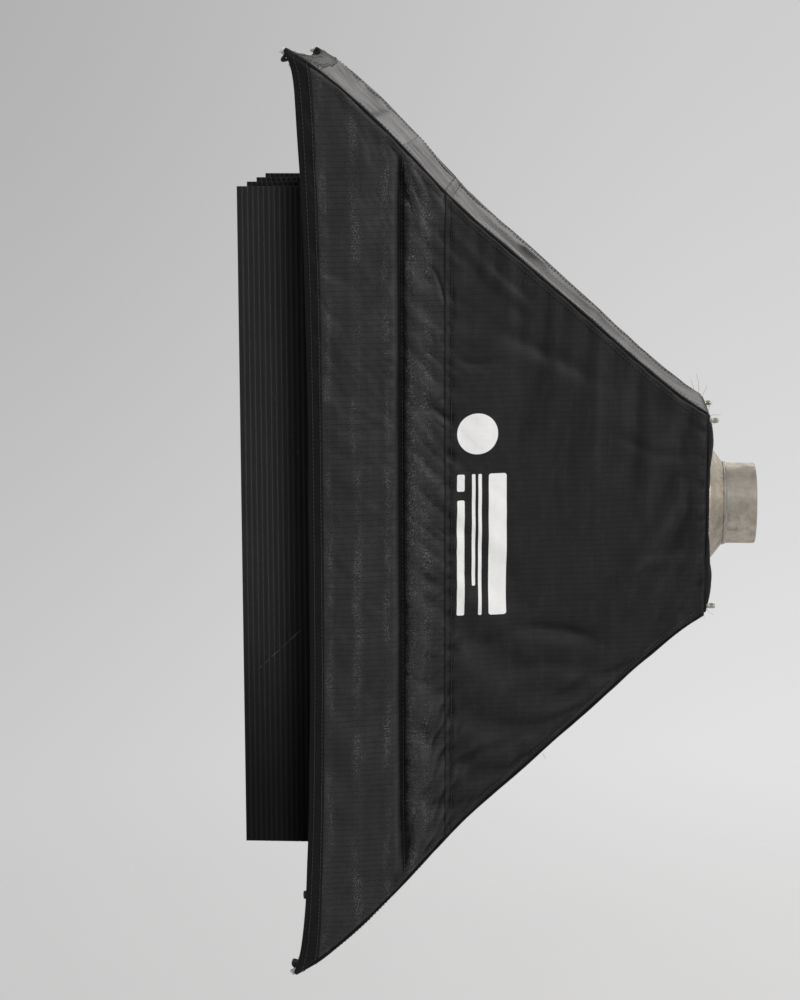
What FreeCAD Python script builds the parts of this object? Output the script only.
import FreeCAD, Part
import math
import os

# Strip softbox: a rod-framed fabric box on a spun aluminium dish, with a recessed front
# diffuser, an inner baffle and a deep louvre of twin-wall board.
# Millimetres.  Light leaves along -X (front), the lighting head plugs in from +X (rear) and the
# strip's long side stands along Z.  Left is -Y and right is +Y, as seen from behind.
# Shapes are drawn from the plane of the box's rear face and centred on the X axis.  They are
# saved with the origin moved along X to the plain outside of the neck collar.

Vector = FreeCAD.Vector
X_AXIS = Vector(1, 0, 0)
ORIGIN_X = 33.7           # saved origin, from the rear face

# ------------------------------------------------------------------ driving dimensions
# Outside of the fabric along the four corner edges: (x, half-height), rear to front
EDGE_HEIGHTS = [
    (6.0, 90.5), (0.0, 94.5), (-20.0, 107.5), (-58.0, 138.0),
    (-106.0, 181.0), (-175.0, 241.5), (-230.0, 290.0), (-281.0, 344.0),
    (-320.0, 382.5), (-356.0, 412.0), (-376.0, 424.5), (-392.0, 433.0),
]
WIDTH_REAR_X, WIDTH_FRONT_X = 0.0, -376.0   # where the two half-widths below are taken
HALF_W_REAR, HALF_W_FRONT = 63.0, 143.0
# x positions through which the curved sheets are drawn
STATIONS = [
    6.0, -8.0, -26.0, -52.0, -84.0, -120.0, -160.0, -196.0,
    -232.0, -262.0, -290.0, -318.0, -344.0, -366.0, -390.0,
]

# side name: (axis it faces along, sign)
SIDES = {"left": ("y", -1), "right": ("y", 1), "top": ("z", 1), "bottom": ("z", -1)}
# corner name: (sign of y, sign of z)
CORNERS = {
    "top_left": (-1, 1), "top_right": (1, 1), "bottom_left": (-1, -1), "bottom_right": (1, -1),
}

ROD_R = 4.76 / 2          # 3/16 in spring steel
PIN_Y, PIN_Z = 57.0, 87.5 # rear ends of the rods, which sit in the ring plate

# front window and louvre: 9 in x 24 in
WINDOW_HALF_W, WINDOW_HALF_H = 114.3, 304.8

# depths below the outside of the shell
LINING_DEPTH, LINING_T = 1.5, 0.4
EDGE_INSET = 15.0         # how far the lining and tapes stop short of a corner edge


# ------------------------------------------------------------------ shell curves
def smooth_curve(table, x):
    """Value at x of a smooth cubic curve through (x, value) rows of falling x."""
    count = len(table)
    xs = [row[0] for row in table]
    values = [row[1] for row in table]
    chords = [(values[i + 1] - values[i]) / (xs[i + 1] - xs[i]) for i in range(count - 1)]
    slopes = [chords[0]]
    for i in range(1, count - 1):
        before, after = xs[i] - xs[i - 1], xs[i + 1] - xs[i]
        slopes.append((chords[i - 1] * after + chords[i] * before) / (before + after))
    slopes.append(chords[-1])
    i = 0
    while i < count - 2 and x < xs[i + 1]:
        i += 1
    step = xs[i + 1] - xs[i]
    t = (x - xs[i]) / step
    return (
        (2 * t**3 - 3 * t**2 + 1) * values[i]
        + (t**3 - 2 * t**2 + t) * step * slopes[i]
        + (-2 * t**3 + 3 * t**2) * values[i + 1]
        + (t**3 - t**2) * step * slopes[i + 1]
    )


def half_h(x):
    return smooth_curve(EDGE_HEIGHTS, x)


HALF_H_REAR, HALF_H_FRONT = half_h(WIDTH_REAR_X), half_h(WIDTH_FRONT_X)


def half_w(x):
    """The width grows in step with the height."""
    growth = HALF_W_FRONT - HALF_W_REAR
    return HALF_W_REAR + growth * (half_h(x) - HALF_H_REAR) / (HALF_H_FRONT - HALF_H_REAR)


def inward(curve, x, depth):
    """Point of the curve moved inside by depth along the curve's normal."""
    reach = 0.5
    slope = (curve(x - reach) - curve(x + reach)) / (2 * reach)   # growth towards the front
    length = math.hypot(1.0, slope)
    return x - depth * slope / length, curve(x) - depth / length


def inset_at(curve, x, depth):
    """Value at x of the curve offset inside by depth."""
    source_x = x
    for _ in range(12):
        source_x += x - inward(curve, source_x, depth)[0]
    return inward(curve, source_x, depth)[1]


# ------------------------------------------------------------------ shape helpers
def spline(points):
    curve = Part.BSplineCurve()
    curve.interpolate(Points=[Vector(*p) for p in points])
    return curve.toShape()


def line(start, end):
    return Part.makeLine(Vector(*start), Vector(*end))


def face_of(edges):
    return Part.Face(Part.Wire(edges))


def band_face(first, second):
    """Face between two splines that run opposite ways, closed by straight ends."""
    return face_of([
        spline(first), line(first[-1], second[0]),
        spline(second), line(second[-1], first[0]),
    ])


def polygon(points):
    """Closed wire through the points."""
    return Part.makePolygon(points + [points[0]])


def box(x0, x1, y0, y1, z0, z1):
    """Box between two opposite corners; y and z may be given either way round."""
    corner = Vector(x0, min(y0, y1), min(z0, z1))
    return Part.makeBox(x1 - x0, abs(y1 - y0), abs(z1 - z0), corner)


def centred_box(x0, x1, half_width, half_height):
    return box(x0, x1, -half_width, half_width, -half_height, half_height)


def disc_x(radius, x0, x1, y=0.0, z=0.0):
    """Cylinder along X."""
    return Part.makeCylinder(radius, x1 - x0, Vector(x0, y, z), X_AXIS)


def ring_x(outer_r, inner_r, x0, x1):
    return disc_x(outer_r, x0, x1).cut(disc_x(inner_r, x0 - 1, x1 + 1))


def turned(profile):
    """Solid of revolution about X from a closed (x, radius) polygon."""
    wire = polygon([Vector(x, 0, r) for x, r in profile])
    return Part.Face(wire).revolve(Vector(0, 0, 0), X_AXIS, 360)


def save(name, *shapes):
    """Write the solids of the shapes as one piece, measured from the saved origin."""
    solids = [s for shape in shapes for s in shape.Solids if s.Volume > 1e-3]
    for solid in solids:
        if not solid.isValid():
            solid.fix(1e-6, 1e-6, 1e-6)
    piece = solids[0] if len(solids) == 1 else Part.makeCompound(solids)
    piece = piece.copy()
    piece.translate(Vector(-ORIGIN_X, 0, 0))
    piece.exportStep("parts/" + name + ".step")


os.makedirs("parts", exist_ok=True)

# ------------------------------------------------------------------ curved sheets
FABRIC_T = 0.8            # sewn shell cloth with its allowances
TUCK_GAP = 0.3            # between the top or bottom cloth and the long sides
REAR_X = -1.5             # rear edge of the side panels
SEAM_X = -235.0           # seam between front band and rear panel
SEAM_GAP = 0.4
LINING_X0, LINING_X1 = -271.0, -14.0

HEM_X_CORNER = -372.0     # front hem at the corners
HEM_X_MID_LONG = -361.0   # at the middle of a long side
HEM_X_MID_SHORT = -367.0  # at the middle of a short side
HEM_STEPS = 8             # spline spans along a hem

HEM_TAPE_DEPTHS = (1.1, 1.7)
HEM_TAPE_SETBACK, HEM_TAPE_W = 0.6, 16.0
LOOP_TAPE_DEPTHS = (1.2, 2.2)
LOOP_TAPE_X0, LOOP_TAPE_X1 = -299.0, -274.0


def sheet(side, depth0, depth1):
    """Sheet between two depths over the whole length of the box, wider than the side."""
    axis, sign = side
    curve = half_w if axis == "y" else half_h

    def place(depth):
        points = [inward(curve, x, depth) for x in STATIONS]
        if axis == "y":
            return [(x, sign * v, -460.0) for x, v in points]
        return [(x, -170.0, sign * v) for x, v in points]

    width = Vector(0, 0, 920) if axis == "y" else Vector(0, 340, 0)
    return band_face(place(depth0), place(depth1)[::-1]).extrude(width)


def one_side(shape, side):
    """Keep the solids on this side of the X axis."""
    axis, sign = side
    keep = []
    for solid in shape.Solids:
        centre = solid.CenterOfMass
        across = centre.y if axis == "y" else centre.z
        if (across > 0) == (sign > 0):
            keep.append(solid)
    return keep[0] if len(keep) == 1 else Part.makeCompound(keep)


# Trimming prisms are drawn flat, as (x, distance from the middle of the side), and pushed
# right through the box.
def flat_points(side, points):
    if side[0] == "y":
        return [(x, -200.0, v) for x, v in points]
    return [(x, v, -500.0) for x, v in points]


def through(side):
    return Vector(0, 400, 0) if side[0] == "y" else Vector(0, 0, 1000)


def trimmed(side, depths, first, second):
    """Sheet trimmed to the band between two flat outlines."""
    whole = sheet(side, *depths)
    face = band_face(flat_points(side, first), flat_points(side, second))
    return one_side(whole.common(face.extrude(through(side))), side)


def inset_edge(side, x, inset):
    """Half-width of a side at x, less the inset."""
    return (half_h(x) if side[0] == "y" else half_w(x)) - inset


def strip(side, depths, x0, x1, inset):
    """Sheet between two x positions, short of the corner edges by inset."""
    upper = [(x, inset_edge(side, x, inset)) for x in (x1, (x0 + x1) / 2, x0)]
    lower = [(x, -v) for x, v in upper[::-1]]
    return trimmed(side, depths, upper, lower)


def cover_edge(side, x):
    """Half-width of the cloth: long sides run to the corner, the others tuck between."""
    if side[0] == "y":
        return half_h(x)
    return inset_at(half_w, x, FABRIC_T) - TUCK_GAP


def hem_x(side, across):
    """Front edge at a distance across from the middle of the side."""
    if side[0] == "y":
        k = min(1.0, abs(across) / half_h(HEM_X_CORNER))
        return HEM_X_MID_LONG + (HEM_X_CORNER - HEM_X_MID_LONG) * k**3
    k = min(1.0, abs(across) / half_w(HEM_X_CORNER))
    return HEM_X_MID_SHORT + (HEM_X_CORNER - HEM_X_MID_SHORT) * k**2


def hem_positions(reach):
    """Even steps across a side, from +reach to -reach."""
    return [reach * (1 - 2.0 * k / HEM_STEPS) for k in range(HEM_STEPS + 1)]


def cover_prism(side):
    """Prism that trims a sheet to the outline of the shell cloth."""
    front_x = HEM_X_CORNER
    for _ in range(20):   # settles where the side edge meets the curved hem
        front_x = hem_x(side, cover_edge(side, front_x))
    xs = [REAR_X] + [x for x in STATIONS if front_x + 6 < x < REAR_X - 4] + [front_x]
    upper = [(x, cover_edge(side, x)) for x in xs]
    reach = upper[-1][1]
    hem = [(hem_x(side, v), v) for v in hem_positions(reach)]
    hem[0], hem[-1] = (front_x, reach), (front_x, -reach)
    lower = [(x, -v) for x, v in upper[::-1]]
    upper, hem, lower = [flat_points(side, row) for row in (upper, hem, lower)]
    edges = [spline(upper), spline(hem), spline(lower), line(lower[-1], upper[0])]
    return face_of(edges).extrude(through(side))


def hem_tape(side):
    """Tape inside the cloth, just behind the curved front edge."""
    positions = hem_positions(inset_edge(side, HEM_X_CORNER + 6, EDGE_INSET))
    front = [(hem_x(side, v) + HEM_TAPE_SETBACK, v) for v in positions]
    rear = [(hem_x(side, v) + HEM_TAPE_SETBACK + HEM_TAPE_W, v) for v in positions[::-1]]
    return trimmed(side, HEM_TAPE_DEPTHS, front, rear)


for name, side in SIDES.items():
    cloth = one_side(sheet(side, 0.0, FABRIC_T).common(cover_prism(side)), side)
    front_half = box(-500, SEAM_X - SEAM_GAP / 2, -300, 300, -600, 600)
    rear_half = box(SEAM_X + SEAM_GAP / 2, 50, -300, 300, -600, 600)
    save(name + "_front_band", cloth.common(front_half))
    save(name + "_rear_panel", cloth.common(rear_half))
    lining_depths = (LINING_DEPTH, LINING_DEPTH + LINING_T)
    save("lining_" + name, strip(side, lining_depths, LINING_X0, LINING_X1, EDGE_INSET))

save("front_hem_tape", *[hem_tape(side) for side in SIDES.values()])
save("loop_tape", *[
    strip(side, LOOP_TAPE_DEPTHS, LOOP_TAPE_X0, LOOP_TAPE_X1, EDGE_INSET)
    for side in SIDES.values()
])

# small pull tab on the left hem, low down
save("hem_pull_tab", box(-371.0, -362.6, -139.2, -137.6, -352.0, -345.0))

# ------------------------------------------------------------------ rods and corner pieces
# One corner is modelled, top left (-Y, +Z), and mirrored for the other three.
# A rod lies in one plane, which holds the pin's axis and the front tip.  In that plane it is a
# run of straight lengths with rounded corners.
TIP_X, TIP_Y, TIP_Z = -381.8, 138.4, 424.0
TILT = math.atan2(TIP_Z - PIN_Z, TIP_Y - PIN_Y)
# (x, height z of the corner, bend radius); the two ends have no bend
ROD_RUN = [
    (8.3, PIN_Z, 0.0),
    (-14.0, PIN_Z, 16.0),
    (-232.0, 281.8, 420.0),
    (-330.0, 383.4, 170.0),
    (TIP_X, TIP_Z, 0.0),
]
SLEEVE_INNER_R, SLEEVE_OUTER_R = ROD_R + 0.25, ROD_R + 0.75
SLEEVE_REAR_X, SLEEVE_FRONT_X = -54.0, -348.0
CAP_R, CAP_L, CAP_GAP = ROD_R + 0.5, 1.6, 0.05

PIPING_R, PIPING_FACETS = 0.8, 10
PIPING_IN, PIPING_UP = 0.5, 1.75   # piping centre from the corner edge, in Y and in Z
PIPING_STATIONS = [
    -3.0, -16.0, -30.0, -50.0, -70.0, -95.0, -120.0, -145.0, -170.0, -195.0,
    -215.0, -235.0, -255.0, -275.0, -295.0, -315.0, -335.0, -352.0, -370.0,
]

# corner tab profile: (x, z) along each face
TAB_OUTER = [(-366.5, 405.5), (-372.0, 410.8), (-377.0, 414.6), (-384.0, 417.0)]
TAB_INNER = [(-383.6, 414.0), (-377.6, 411.6), (-373.4, 408.2), (-368.0, 403.2)]
TAB_Y, TAB_W = -128.0, 11.0
EYELET_CENTRE = Vector(-374.9, -133.5, 411.5)
EYELET_AXIS = Vector(-0.56, 0, 0.83)
TAB_HOLE_R, EYELET_OUTER_R, EYELET_INNER_R, EYELET_L = 1.9, 1.8, 1.3, 4.2


def on_rod(x, z):
    """Point of the top left rod's plane at x and height z."""
    along = (z - PIN_Z) / math.sin(TILT)
    return Vector(x, -(PIN_Y + along * math.cos(TILT)), z)


def run_point(row0, row1, x):
    """End row at x on the straight between two rows of a run."""
    share = (x - row0[0]) / (row1[0] - row0[0])
    return (x, row0[1] + share * (row1[1] - row0[1]), 0.0)


def rod_bar(run, radius):
    """Round bar along a run: straight lengths joined by bends."""
    points = [on_rod(x, z) for x, z, _ in run]
    solids, start = [], points[0]
    for i in range(1, len(points) - 1):
        bend = run[i][2]
        before = (points[i] - points[i - 1]).normalize()
        after = (points[i + 1] - points[i]).normalize()
        angle = before.getAngle(after)
        setback = bend * math.tan(angle / 2)
        bend_start, bend_end = points[i] - before * setback, points[i] + after * setback
        axis = before.cross(after).normalize()
        centre = bend_start + axis.cross(before).normalize() * bend
        straight = bend_start - start
        solids.append(Part.makeCylinder(radius, straight.Length, start, straight))
        disc = Part.Face(Part.Wire([Part.makeCircle(radius, bend_start, before)]))
        solids.append(disc.revolve(centre, axis, math.degrees(angle)))
        start = bend_end
    straight = points[-1] - start
    solids.append(Part.makeCylinder(radius, straight.Length, start, straight))
    return solids[0].multiFuse(solids[1:]).removeSplitter()


def rod_sleeve():
    """Fabric sleeve round the rod, short of both ends."""
    rear = run_point(ROD_RUN[1], ROD_RUN[2], SLEEVE_REAR_X)
    front = run_point(ROD_RUN[3], ROD_RUN[4], SLEEVE_FRONT_X)
    run = [rear] + ROD_RUN[2:4] + [front]
    return rod_bar(run, SLEEVE_OUTER_R).cut(rod_bar(run, SLEEVE_INNER_R))


def tip_cap():
    """Cap on the front end of the rod."""
    tip = on_rod(TIP_X, TIP_Z)
    forward = (tip - on_rod(*ROD_RUN[-2][:2])).normalize()
    return Part.makeCylinder(CAP_R, CAP_L, tip + forward * CAP_GAP, forward)


def corner_cord():
    """Faceted cord over the corner seam."""
    path = [Vector(x, -(half_w(x) - PIPING_IN), half_h(x) + PIPING_UP) for x in PIPING_STATIONS]
    rings = []
    for i, point in enumerate(path):
        ahead = (path[min(len(path) - 1, i + 1)] - path[max(0, i - 1)]).normalize()
        up = Vector(0, 1, 0).cross(ahead).normalize()
        across = ahead.cross(up)
        ring = []
        for k in range(PIPING_FACETS):
            angle = k * 2 * math.pi / PIPING_FACETS
            ring.append(point + up * (PIPING_R * math.cos(angle))
                        + across * (PIPING_R * math.sin(angle)))
        rings.append(polygon(ring))
    return Part.makeLoft(rings, True, True)


def eyelet_cylinder(radius, half_length, length):
    start = EYELET_CENTRE - EYELET_AXIS * half_length
    return Part.makeCylinder(radius, length, start, EYELET_AXIS)


def corner_tab():
    """Short curled web below the rod tip, with a hole for the eyelet."""
    outer = [(x, TAB_Y, z) for x, z in TAB_OUTER]
    inner = [(x, TAB_Y, z) for x, z in TAB_INNER]
    tab = band_face(outer, inner).extrude(Vector(0, -TAB_W, 0))
    return tab.cut(eyelet_cylinder(TAB_HOLE_R, 6.0, 12.0))


def tab_eyelet():
    body = eyelet_cylinder(EYELET_OUTER_R, EYELET_L / 2, EYELET_L)
    return body.cut(eyelet_cylinder(EYELET_INNER_R, 4.0, 8.0))


def at_corner(shape, sign_y, sign_z):
    """Mirror a top left shape to the given corner."""
    if sign_y > 0:
        shape = shape.mirror(Vector(0, 0, 0), Vector(0, 1, 0))
    if sign_z < 0:
        shape = shape.mirror(Vector(0, 0, 0), Vector(0, 0, 1))
    return shape


for prefix, shape in (("rod_", rod_bar(ROD_RUN, ROD_R)), ("corner_tab_", corner_tab())):
    for name, signs in CORNERS.items():
        save(prefix + name, at_corner(shape, *signs))

for name, shape in (
    ("rod_sleeves", rod_sleeve()),
    ("rod_tip_caps", tip_cap()),
    ("corner_piping", corner_cord()),
    ("tab_eyelets", tab_eyelet()),
):
    save(name, *[at_corner(shape, *signs) for signs in CORNERS.values()])

# ------------------------------------------------------------------ ring plate, dish, rivets
PLATE_X0, PLATE_X1 = -6.0, -3.0
PLATE_HALF_W, PLATE_HALF_H, PLATE_CORNER_R = 61.0, 92.0, 7.0
PLATE_BORE_R = 47.0
PIN_HOLE_R = ROD_R + 0.12
HOLE_X0, HOLE_X1 = -15.0, 5.0   # reach of the holes; the rivet holes end in the dish's cone

NECK_R = 38.1             # 3 in collar
DISH_T = 1.5
DISH_RIM_R = 58.5
DISH_X0 = PLATE_X1 + 0.02
FLANGE_X1 = DISH_X0 + DISH_T
MOUTH_R = 39.4
MOUTH_X = 16.6
LIP_X0, LIP_X1 = MOUTH_X - 0.8, MOUTH_X + 1.8
LIP_BORE_R = NECK_R + 0.06
DISH_PROFILE = [          # (x, radius)
    (DISH_X0, PLATE_BORE_R), (DISH_X0, DISH_RIM_R - 0.6), (DISH_X0 + 0.6, DISH_RIM_R),
    (0.8, DISH_RIM_R), (3.2, 56.8), (MOUTH_X, MOUTH_R),
    (MOUTH_X + 0.5, MOUTH_R + 0.35), (MOUTH_X + 1.3, MOUTH_R + 0.35), (LIP_X1, MOUTH_R - 0.1),
    (LIP_X1, LIP_BORE_R), (LIP_X0, LIP_BORE_R), (LIP_X0, MOUTH_R - 0.1),
    (2.2, 55.4), (0.4, DISH_RIM_R - DISH_T), (FLANGE_X1, DISH_RIM_R - DISH_T),
    (FLANGE_X1, PLATE_BORE_R),
]

RIVET_HOLE_R, RIVET_CIRCLE_R, RIVET_COUNT = 1.6, 52.0, 8
RIVET_SHANK_R = RIVET_HOLE_R - 0.04
RIVET_HEAD_R, RIVET_HEAD_T = 2.9, 0.9
RIVET_TAIL_R, RIVET_TAIL_T = 2.5, 0.8
RIVET_ANGLES = [2 * math.pi * (k + 0.5) / RIVET_COUNT for k in range(RIVET_COUNT)]
RIVET_CENTRES = [
    (RIVET_CIRCLE_R * math.cos(a), RIVET_CIRCLE_R * math.sin(a)) for a in RIVET_ANGLES
]


def cut_pin_holes(shape, radius, x0, x1):
    for sign_y in (-1, 1):
        for sign_z in (-1, 1):
            shape = shape.cut(disc_x(radius, x0, x1, sign_y * PIN_Y, sign_z * PIN_Z))
    return shape


def cut_rivet_holes(shape):
    for y, z in RIVET_CENTRES:
        shape = shape.cut(disc_x(RIVET_HOLE_R, HOLE_X0, HOLE_X1, y, z))
    return shape


def ring_plate():
    plate = centred_box(PLATE_X0, PLATE_X1, PLATE_HALF_W, PLATE_HALF_H)
    corners = [e for e in plate.Edges if abs(e.Vertexes[0].X - e.Vertexes[-1].X) > 1]
    plate = plate.makeFillet(PLATE_CORNER_R, corners)
    plate = plate.cut(disc_x(PLATE_BORE_R, HOLE_X0, HOLE_X1))
    return cut_rivet_holes(cut_pin_holes(plate, PIN_HOLE_R, HOLE_X0, HOLE_X1))


def rivet(y, z):
    """Rivet through plate and dish flange, with its head at the rear."""
    shank_x0, head_x0, tail_x0 = PLATE_X0 - 0.03, FLANGE_X1 + 0.02, PLATE_X0 - 0.82
    shank = disc_x(RIVET_SHANK_R, shank_x0, FLANGE_X1 + 0.03, y, z)
    head = disc_x(RIVET_HEAD_R, head_x0, head_x0 + RIVET_HEAD_T, y, z)
    tail = disc_x(RIVET_TAIL_R, tail_x0, tail_x0 + RIVET_TAIL_T, y, z)
    return shank.fuse(head).fuse(tail).removeSplitter()


save("ring_plate", ring_plate())
save("speedring_dish", cut_rivet_holes(turned(DISH_PROFILE)))
save("dish_rivets", *[rivet(y, z) for y, z in RIVET_CENTRES])

# ------------------------------------------------------------------ neck that the head holds
NECK_BORE_R = 35.1
NECK_END = 48.0
NECK_CHAMFER = 0.6
GROOVE_X0, GROOVE_X1 = LIP_X1 + 0.05, LIP_X1 + 1.65
GROOVE_R = NECK_R - 0.5
FLANGE_R = NECK_R + 1.5   # flange in front of the dish's lip
NECK_X0, NECK_FLANGE_X1 = LIP_X0 - 3.1, LIP_X0 - 0.7

save("neck_collar", turned([
    (NECK_X0, NECK_BORE_R), (NECK_END, NECK_BORE_R),
    (NECK_END, NECK_R - NECK_CHAMFER), (NECK_END - NECK_CHAMFER, NECK_R),
    (GROOVE_X1, NECK_R), (GROOVE_X1, GROOVE_R), (GROOVE_X0, GROOVE_R), (GROOVE_X0, NECK_R),
    (NECK_FLANGE_X1, NECK_R), (NECK_FLANGE_X1, FLANGE_R), (NECK_X0, FLANGE_R),
]))
save("friction_washer", ring_x(NECK_R + 0.95, NECK_R + 0.1, LIP_X0 - 0.65, LIP_X0 - 0.06))
# split ring in the groove, open at the bottom
split = box(LIP_X1 - 1, LIP_X1 + 4, -2.0, 2.0, -60, 0)
retaining_ring = ring_x(NECK_R + 1.1, NECK_R - 0.45, LIP_X1 + 0.1, LIP_X1 + 1.6)
save("retaining_ring", retaining_ring.cut(split))

# ------------------------------------------------------------------ rear cover and seam cord
rear_cover = centred_box(-1.0, 0.0, 60.9, 92.1).cut(disc_x(DISH_RIM_R + 1.0, -5, 5))
save("rear_cover", cut_pin_holes(rear_cover, ROD_R + 0.4, -5, 5))
save("rear_piping", centred_box(-1.3, 0.7, 62.8, 94.2).cut(centred_box(-3, 3, 61.1, 92.4)))

# ------------------------------------------------------------------ front diffuser
DIFFUSER_X, DIFFUSER_T = -282.6, 0.6
HOOK_DEPTH, HOOK_T = 2.4, 0.7
HOOK_X0, HOOK_X1 = -297.0, -280.5
HOOK_INSET = EDGE_INSET + 3
CORNER_CUT = 19.0         # the corners are cut back to clear the rods
BORDER_T = 0.9
BORDER_X1 = DIFFUSER_X - 0.05
BORDER_X0 = BORDER_X1 - BORDER_T
DIFFUSER_HALF_W = inset_at(half_w, DIFFUSER_X, HOOK_DEPTH + 1.2) - 1.0
DIFFUSER_HALF_H = inset_at(half_h, DIFFUSER_X, HOOK_DEPTH + 1.2) - 1.5


def cut_corner_sheet(x0, x1, w, h):
    """Sheet across X with half-width w and half-height h, its corners cut at 45 degrees."""
    c = CORNER_CUT
    outline = [
        (-w + c, -h), (w - c, -h), (w, -h + c), (w, h - c),
        (w - c, h), (-w + c, h), (-w, h - c), (-w, -h + c),
    ]
    wire = polygon([Vector(x0, y, z) for y, z in outline])
    return Part.Face(wire).extrude(Vector(x1 - x0, 0, 0))


save("diffuser_hook_tape", *[
    strip(side, (HOOK_DEPTH, HOOK_DEPTH + HOOK_T), HOOK_X0, HOOK_X1, HOOK_INSET)
    for side in SIDES.values()
])
save("front_diffuser", cut_corner_sheet(
    DIFFUSER_X, DIFFUSER_X + DIFFUSER_T, DIFFUSER_HALF_W, DIFFUSER_HALF_H))
border = cut_corner_sheet(BORDER_X0, BORDER_X1, DIFFUSER_HALF_W - 0.6, DIFFUSER_HALF_H - 0.8)
window = centred_box(BORDER_X0 - 1, BORDER_X1 + 1, WINDOW_HALF_W - 4.5, WINDOW_HALF_H - 4)
save("diffuser_border", border.cut(window))

# ------------------------------------------------------------------ inner baffle
BAFFLE_X, BAFFLE_T = -160.0, 0.6
BAFFLE_HALF_W = inset_at(half_w, BAFFLE_X, 2.0) - 9.0
BAFFLE_HALF_H = inset_at(half_h, BAFFLE_X, 2.0) - 24.0
BAFFLE_TAB_Y = BAFFLE_HALF_W - 14
BAFFLE_TAB_HALF_W = 5
BAFFLE_TAB_Z0 = BAFFLE_HALF_H - 10
BAFFLE_TAB_Z1 = inset_at(half_h, BAFFLE_X, LINING_DEPTH + LINING_T) - 8.0
SNAP_R, SNAP_T = 4.5, 1.0
STUD_R, STUD_L = 2.2, 2.6


def baffle_tab(sign_y, sign_z):
    y = sign_y * BAFFLE_TAB_Y
    return box(BAFFLE_X - 1.7, BAFFLE_X - 0.7, y - BAFFLE_TAB_HALF_W, y + BAFFLE_TAB_HALF_W,
               sign_z * BAFFLE_TAB_Z0, sign_z * BAFFLE_TAB_Z1)


def baffle_snap(sign_y, sign_z):
    """Snap on the lining, square to it."""
    slope = (half_h(BAFFLE_X - 1) - half_h(BAFFLE_X + 1)) / 2.0
    normal = Vector(-slope, 0, -sign_z).normalize()
    outside = Vector(BAFFLE_X, sign_y * BAFFLE_TAB_Y, sign_z * half_h(BAFFLE_X))
    base = outside + normal * (LINING_DEPTH + LINING_T + 0.1)
    disc = Part.makeCylinder(SNAP_R, SNAP_T, base, normal)
    return disc.fuse(Part.makeCylinder(STUD_R, STUD_L, base, normal))


save("inner_baffle", centred_box(BAFFLE_X - BAFFLE_T, BAFFLE_X, BAFFLE_HALF_W, BAFFLE_HALF_H))
save("baffle_tabs", *[baffle_tab(*signs) for signs in CORNERS.values()])
save("baffle_snaps", *[baffle_snap(*signs) for signs in CORNERS.values()])

# ------------------------------------------------------------------ louvre
BOARD_T = 4.0             # twin-wall board
SKIN_T = 0.4              # skins and ribs
FLUTE_PITCH = 4.8
LOUVRE_X0, LOUVRE_X1 = -427.0, -286.0
LOUVRE_MID_X = (LOUVRE_X0 + LOUVRE_X1) / 2
LONG_PANELS, CROSS_PANELS = 4, 9
CROSS_INSET = 18.0        # first cross panel's centre from the end of the long panels
CROSS_SETBACK = 0.5       # cross panels' edges inside those of the long panels
CROSS_L = 2 * (WINDOW_HALF_W - BOARD_T - 0.1)
SLOT_HALF_W = BOARD_T / 2 + 0.15
SLOT_OVERLAP = 0.1        # slots run this far past mid-depth


def spread(reach, count):
    """Even positions from -reach to +reach."""
    return [-reach + 2 * reach * k / (count - 1) for k in range(count)]


LONG_YS = spread(WINDOW_HALF_W - BOARD_T / 2, LONG_PANELS)
CROSS_ZS = spread(WINDOW_HALF_H - CROSS_INSET, CROSS_PANELS)


def board(x0, x1, length, along):
    """Twin-wall board with flutes along 'y' or 'z', open at both ends."""
    count = int((x1 - x0) / FLUTE_PITCH)
    first = x0 + ((x1 - x0) - count * FLUTE_PITCH) / 2.0

    def outline(left, right, half_t):
        corners = [(left, -half_t), (right, -half_t), (right, half_t), (left, half_t)]
        if along == "z":
            return polygon([Vector(x, v, -length / 2) for x, v in corners])
        return polygon([Vector(x, -length / 2, v) for x, v in corners])

    wires = [outline(x0, x1, BOARD_T / 2)]
    for k in range(count):
        start = first + k * FLUTE_PITCH + SKIN_T / 2
        end = first + (k + 1) * FLUTE_PITCH - SKIN_T / 2
        wires.append(outline(start, end, BOARD_T / 2 - SKIN_T))
    face = Part.Face(wires)
    face.validate()
    return face.extrude(Vector(0, 0, length) if along == "z" else Vector(0, length, 0))


def long_panel(y, slotted):
    """Upright panel; the slotted ones are open from the rear."""
    panel = board(LOUVRE_X0, LOUVRE_X1, 2 * WINDOW_HALF_H, "z")
    panel.translate(Vector(0, y, 0))
    if not slotted:
        return panel
    slots = [box(LOUVRE_MID_X - SLOT_OVERLAP, LOUVRE_X1 + 1, y - 5, y + 5,
                 z - SLOT_HALF_W, z + SLOT_HALF_W) for z in CROSS_ZS]
    return panel.cut(Part.makeCompound(slots))


def cross_panel(z):
    """Level panel between the outer long panels, slotted from the front."""
    panel = board(LOUVRE_X0 + CROSS_SETBACK, LOUVRE_X1 - CROSS_SETBACK, CROSS_L, "y")
    panel.translate(Vector(0, 0, z))
    slots = [box(LOUVRE_X0 - 1, LOUVRE_MID_X + SLOT_OVERLAP,
                 y - SLOT_HALF_W, y + SLOT_HALF_W, z - 5, z + 5) for y in LONG_YS[1:-1]]
    return panel.cut(Part.makeCompound(slots))


for k, y in enumerate(LONG_YS):
    save("louvre_long_panel_%d" % (k + 1), long_panel(y, 0 < k < LONG_PANELS - 1))
for k, z in enumerate(CROSS_ZS):
    save("louvre_cross_panel_%d" % (k + 1), cross_panel(z))

# tabs on the outer faces of the louvre, at its rear edge
save("louvre_hook_tabs", *[
    box(LOUVRE_X1 - 27, LOUVRE_X1 - 2,
        sign * (WINDOW_HALF_W + 0.1), sign * (WINDOW_HALF_W + 1.7), z - 20, z + 20)
    for sign in (-1, 1) for z in (-250.0, 0.0, 250.0)
])
